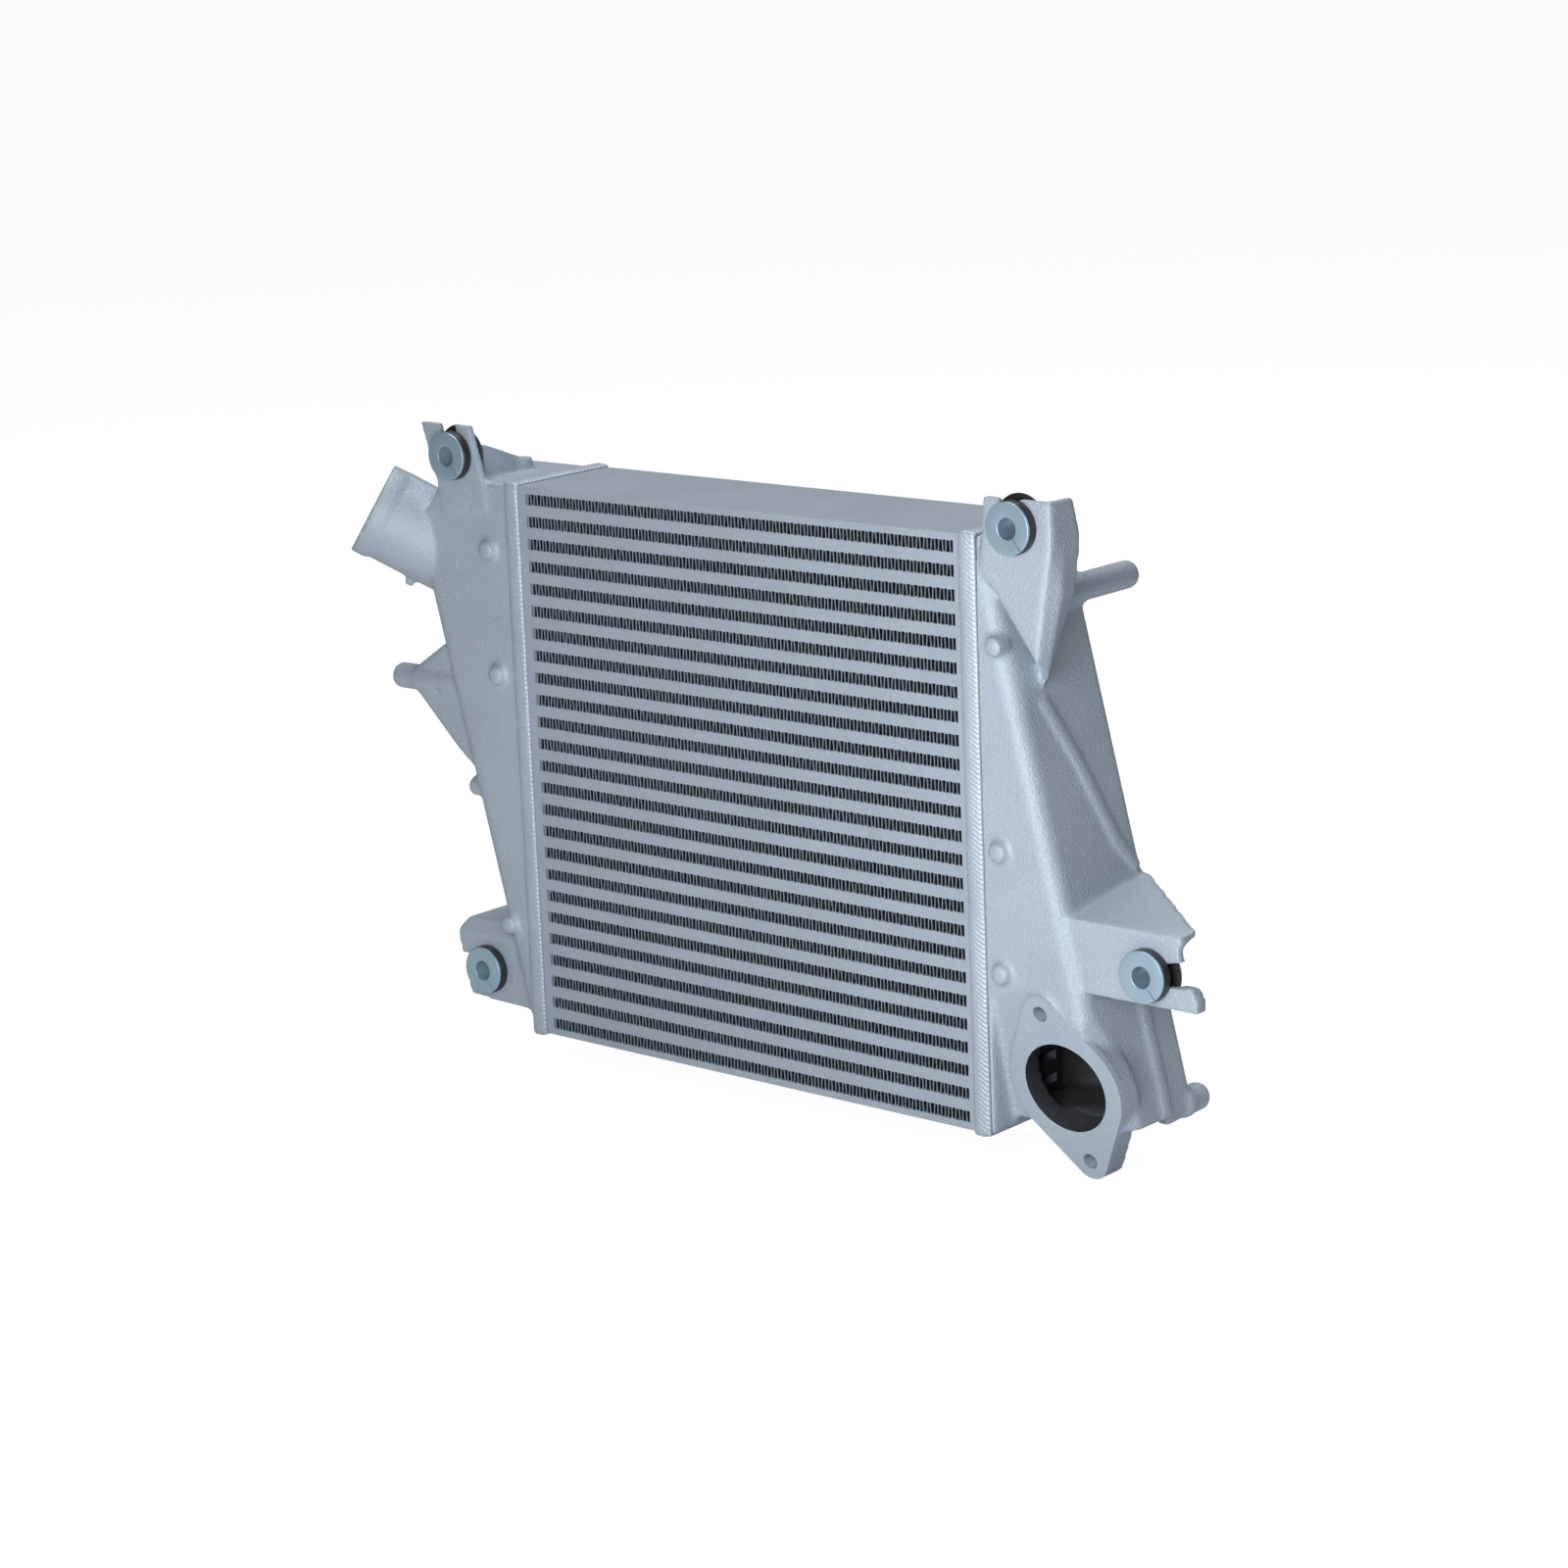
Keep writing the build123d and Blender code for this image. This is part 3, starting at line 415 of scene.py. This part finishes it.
weld_bead("inlet_bead", "inlet_weld_bead", -293.3 * mm, 8.7 * mm, 3)
weld_bead("outlet_bead", "outlet_weld_bead", -37.7 * mm, 9.4 * mm, 5)

# Core bars: drawn aluminium flat tubes, end bars and plates, dulled by brazing. The CAD shapes
# are carried over as they are. Inside the outlet tank their ends are painted near black, as painted
# shade.
bar_paint = metal("brazed_bar", (0.36, 0.42, 0.49), 0.3, 0.52, 0.8 * mm, 0.10 * mm, 0.4)
core_right = -38.7 * mm
nodes, links = bar_paint.node_tree.nodes, bar_paint.node_tree.links
shader = nodes["Principled BSDF"]
painted = shader.inputs["Base Color"].links[0].from_socket
place = nodes.new("ShaderNodeTexCoord")
split = nodes.new("ShaderNodeSeparateXYZ")
links.new(place.outputs["Object"], split.inputs[0])
# painted shade: past core_right, inside the outlet tank, the bars' colour turns near black
in_tank = nodes.new("ShaderNodeMapRange")
in_tank.inputs["From Min"].default_value = core_right - 0.5 * mm
in_tank.inputs["From Max"].default_value = core_right - 0.1 * mm
links.new(split.outputs["X"], in_tank.inputs["Value"])
painted_shade_end = nodes.new("ShaderNodeMix")
painted_shade_end.data_type = "RGBA"
painted_shade_end.inputs["B"].default_value = (0.05, 0.055, 0.06, 1)
links.new(in_tank.outputs[0], painted_shade_end.inputs["Factor"])
links.new(painted, painted_shade_end.inputs["A"])
links.new(painted_shade_end.outputs["Result"], shader.inputs["Base Color"])
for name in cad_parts:
    if name.startswith("charge_tube") or name.endswith(("_plate", "_end_bars")):
        bar = bpy.data.objects[name]
        bar.data.materials.clear()
        bar.data.materials.append(bar_paint)

# Turbulators: folded sheets inside the flat tubes, seen only through the port; their near-black colour
# is painted shade.
# painted shade: a near-black sheet standing in for the shade inside the tubes
turbulator_painted_shade = metal("turbulator_sheet", (0.03, 0.033, 0.037), 0.3, 0.6, 1.0 * mm, 0.05 * mm)
turbulators = bpy.data.objects["turbulators"]
turbulators.data.materials.clear()
turbulators.data.materials.append(turbulator_painted_shade)

# Cooling fins: thin strip folded about every 2 mm between the flat tubes, with waves along the
# air's way. The front edges are bare metal, mottled at random; behind them the sheet is painted near
# black, as painted shade in the deep slots.
edge_dark, edge_light = (0.10, 0.13, 0.17, 1), (0.42, 0.50, 0.58, 1)
# painted shade: the near-black colour of the sheet deep in the slots
painted_shade_colour = (0.010, 0.013, 0.017, 1)
shade_start_depth, full_shade_depth = 0.2 * mm, 0.9 * mm
spot_scale = 900
fin_paint = bpy.data.materials.new("fin_strip")
fin_paint.use_nodes = True
nodes, links = fin_paint.node_tree.nodes, fin_paint.node_tree.links
shader = nodes["Principled BSDF"]
shader.inputs["Roughness"].default_value = 0.6
shader.inputs["Specular IOR Level"].default_value = 0.2
place = nodes.new("ShaderNodeTexCoord")
split = nodes.new("ShaderNodeSeparateXYZ")
links.new(place.outputs["Object"], split.inputs[0])
# painted shade: a little behind the core's front the sheet's colour turns near black, standing in for
# the shade in the slots
depth = nodes.new("ShaderNodeMapRange")
depth.inputs["From Min"].default_value = core_front + shade_start_depth
depth.inputs["From Max"].default_value = core_front + full_shade_depth
links.new(split.outputs["Y"], depth.inputs["Value"])
spots = nodes.new("ShaderNodeTexNoise")
spots.inputs["Scale"].default_value = spot_scale
links.new(place.outputs["Object"], spots.inputs["Vector"])
edge = nodes.new("ShaderNodeMix")
edge.data_type = "RGBA"
edge.inputs["A"].default_value = edge_dark
edge.inputs["B"].default_value = edge_light
links.new(spots.outputs["Fac"], edge.inputs["Factor"])
deep = nodes.new("ShaderNodeMix")
deep.data_type = "RGBA"
deep.inputs["B"].default_value = painted_shade_colour
links.new(depth.outputs[0], deep.inputs["Factor"])
links.new(edge.outputs["Result"], deep.inputs["A"])
links.new(deep.outputs["Result"], shader.inputs["Base Color"])
fin_left = -284.7 * mm
fin_length = 240.0 * mm
fin_height = 5.0 * mm
fin_rows = 25
row_pitch = 10.0 * mm
first_row = core_bottom + 3.0 * mm
fold_count = 124
fold_jitter = 0.13 * mm
lean_range = (0.02 * mm, 0.45 * mm)
end_gap = 0.3 * mm
front_gap = 0.15 * mm
sheet = 0.26 * mm
wave_slices = 5
wave_height = 0.3 * mm
wave_turn = 2.4
first_seed = 100


def folded_path(low, high, chance):
    """Middle line of one strip, folded up and down between two heights."""
    step = (fin_length - 4 * end_gap) / fold_count
    x = fin_left + end_gap
    points = [(x, low)]
    for fold in range(fold_count):
        jitter = chance.uniform(-fold_jitter, fold_jitter)
        lean = chance.uniform(*lean_range)
        flank = x + (fold + 0.5) * step + jitter
        start, end = (low, high) if fold % 2 == 0 else (high, low)
        points += [(flank - lean / 2, start), (flank + lean / 2, end)]
    points.append((x + fold_count * step, points[-1][1]))
    return points


def strip_section(path_points):
    """Closed outline of the strip: both faces of the sheet along its middle line."""
    under, over = [], []
    count = len(path_points)
    for i, (px, pz) in enumerate(path_points):
        before, after = path_points[max(i - 1, 0)], path_points[min(i + 1, count - 1)]
        first = Vector((px - before[0], pz - before[1])) if i else Vector((1, 0))
        second = Vector((after[0] - px, after[1] - pz)) if i < count - 1 else Vector((1, 0))
        bend = first.normalized() + second.normalized()
        side = Vector((-bend.y, bend.x)).normalized()
        reach = sheet / 2 / max(0.6, side.dot(Vector((-first.y, first.x)).normalized()))
        under.append((px - side.x * reach, pz - side.y * reach))
        over.append((px + side.x * reach, pz + side.y * reach))
    return under + over[::-1]


for row in range(fin_rows):
    chance = random.Random(first_seed + row)
    low, high = first_row + row * row_pitch, first_row + row * row_pitch + fin_height
    section = strip_section(folded_path(low + sheet / 2, high - sheet / 2, chance))
    ring = len(section)
    drift = chance.uniform(0, 2 * pi)
    points, faces = [], []
    for cut in range(wave_slices + 1):
        y = core_front + front_gap + (core_depth - 2 * front_gap) * cut / wave_slices
        shift = wave_height * sin(drift + wave_turn * cut) if 0 < cut < wave_slices else 0
        points += [(min(max(px + shift, fin_left), fin_left + fin_length), y,
                    min(max(pz, low), high)) for px, pz in section]
    for cut in range(wave_slices):
        here, there = cut * ring, (cut + 1) * ring
        faces += [(here + i, here + (i + 1) % ring, there + (i + 1) % ring, there + i)
                  for i in range(ring)]
    last = wave_slices * ring
    for i in range(ring // 2 - 1):
        faces.append((i, ring - 1 - i, ring - 2 - i, i + 1))
        faces.append((last + i, last + i + 1, last + ring - 2 - i, last + ring - 1 - i))
    mesh = bpy.data.meshes.new(f"fin_strip_{row + 1:02d}")
    mesh.from_pydata(points, [], faces)
    strip = placed(f"fin_strip_{row + 1:02d}", mesh, fin_paint)
    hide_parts(f"cooling_fin_{row + 1:02d}")


# Rubber grommets: moulded black rubber with two flanges, sitting in the four mount seats.
# Each is a ring turned round its mount's axis, with rounded lips.
def lathe(profile, places, turns, gap=0.0, start=0.0):
    """Closed rings or split rings round -Y axes, from a closed profile of radius and depth."""
    sharp_angle = 40
    points, faces = [], []
    count = len(profile)
    sweep = 2 * pi - gap
    steps = turns if gap == 0 else turns + 1
    for px, py, pz in places:
        base = len(points)
        for step in range(steps):
            angle = start + sweep * step / turns + gap / 2
            points += [(px + r * cos(angle), py + d, pz + r * sin(angle)) for r, d in profile]
        for step in range(turns):
            here, there = base + step * count, base + (step + 1) % steps * count
            faces += [(here + i, there + i, there + (i + 1) % count, here + (i + 1) % count)
                      for i in range(count)]
        if gap:
            faces.append(tuple(base + i for i in range(count)))
            faces.append(tuple(base + turns * count + i for i in reversed(range(count))))
    mesh = bpy.data.meshes.new("lathe")
    mesh.from_pydata(points, [], faces)
    mesh.polygons.foreach_set("use_smooth", [True] * len(faces))
    mesh.set_sharp_from_angle(angle=radians(sharp_angle))
    return mesh


def rounded(corners, radius, parts=4):
    """The closed profile with each corner rounded by a curve."""
    result = []
    count = len(corners)
    for i, corner in enumerate(corners):
        here = Vector(corner)
        back = Vector(corners[i - 1]) - here
        ahead = Vector(corners[(i + 1) % count]) - here
        cut = min(radius, back.length / 2, ahead.length / 2)
        a, b = here + back.normalized() * cut, here + ahead.normalized() * cut
        for part in range(parts + 1):
            t = part / parts
            result.append(tuple((1 - t) ** 2 * a + 2 * t * (1 - t) * here + t * t * b))
    return result


mounts = [(-13.2, -7.0, 231.9), (45.8, -4.0, 56.6), (-327.2, -7.8, 238.0), (-325.6, -5.0, 0.2)]
mounts = [tuple(v * mm for v in mount) for mount in mounts]
rubber = metal("black_rubber", (0.016, 0.017, 0.019), 0.0, 0.42, 0.6 * mm, 0.03 * mm)
lip_rounding = 0.6
grommet_profile = rounded([(6.3, -4.15), (11.0, -4.15), (11.05, -0.05), (7.3, 0.05), (7.3, 3.95),
                           (13.3, 4.1), (10.15, 8.25), (6.3, 8.25)], lip_rounding)
grommet_profile = [(r * mm, d * mm) for r, d in grommet_profile]
grommets = placed("grommets", lathe(grommet_profile, mounts, 72), rubber)
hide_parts("rubber_grommets")

# Mounting sleeves: rolled steel tubes with a washer-like flange, zinc plated with a pale blue
# cast. The roll leaves a fine seam.
zinc = metal("zinc_plate", (0.36, 0.50, 0.60), 0.6, 0.36, 1.6 * mm, 0.004 * mm)
seam_width = radians(2.2)
seam_angle = radians(-52)
edge_rounding = 0.35
sleeve_profile = rounded([(4.5, -5.4), (10.85, -5.4), (10.85, -4.2), (6.2, -4.2), (6.2, 8.3),
                          (4.5, 8.3)], edge_rounding, 3)
sleeve_profile = [(r * mm, d * mm) for r, d in sleeve_profile]
sleeves = placed("sleeves", lathe(sleeve_profile, mounts, 80, seam_width, seam_angle), zinc)
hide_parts("mounting_sleeves")
